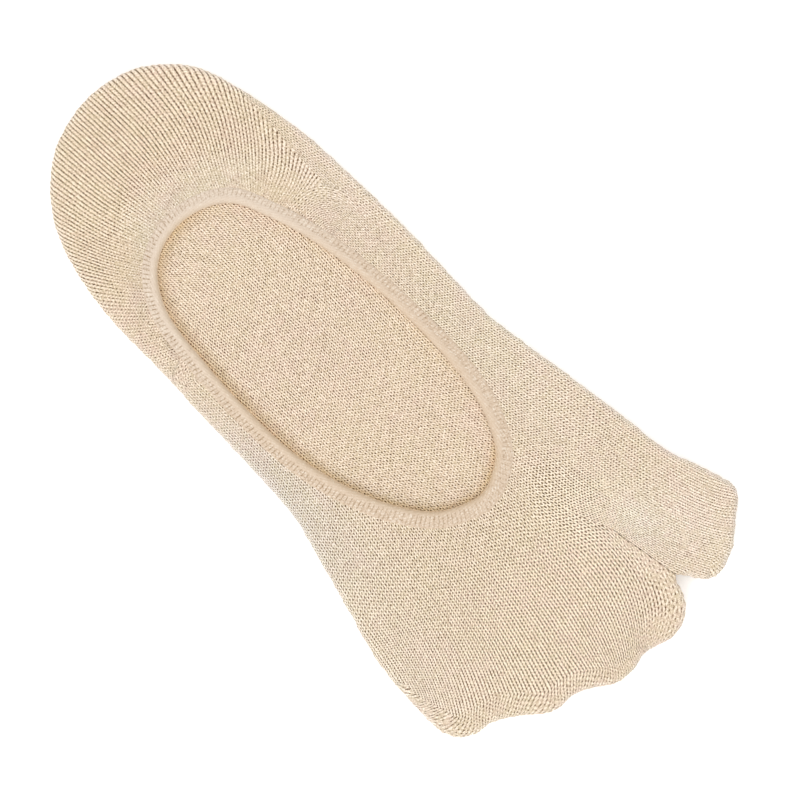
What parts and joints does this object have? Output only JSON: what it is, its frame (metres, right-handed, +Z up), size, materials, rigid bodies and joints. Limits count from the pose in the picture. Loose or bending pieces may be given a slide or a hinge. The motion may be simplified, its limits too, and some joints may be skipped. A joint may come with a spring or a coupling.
{
  "type": "pair of tabi socks",
  "caption": "Low-cut split-toe knitted foot covers with a welted oval mouth, laid flat one on the other, sole to sole.",
  "frame": {"origin": "middle of the bounding box, on the surface that the pair lies on", "axes": "+X from the heel to the toes, +Y towards the big-toe side, +Z up, the way the upper mouth faces"},
  "size_m": [0.2052, 0.0984, 0.0094],
  "materials": {
    "knit": "matte beige cotton jersey knit, ribs and small dark stitch gaps",
    "welt": "matte pinkish beige elastic knit, smooth with short ticks across it"
  },
  "bodies": {
    "root": {"upper_sock": "knit", "upper_rim": "welt", "lower_sock": "knit", "lower_rim": "welt"}
  },
  "joints": []
}
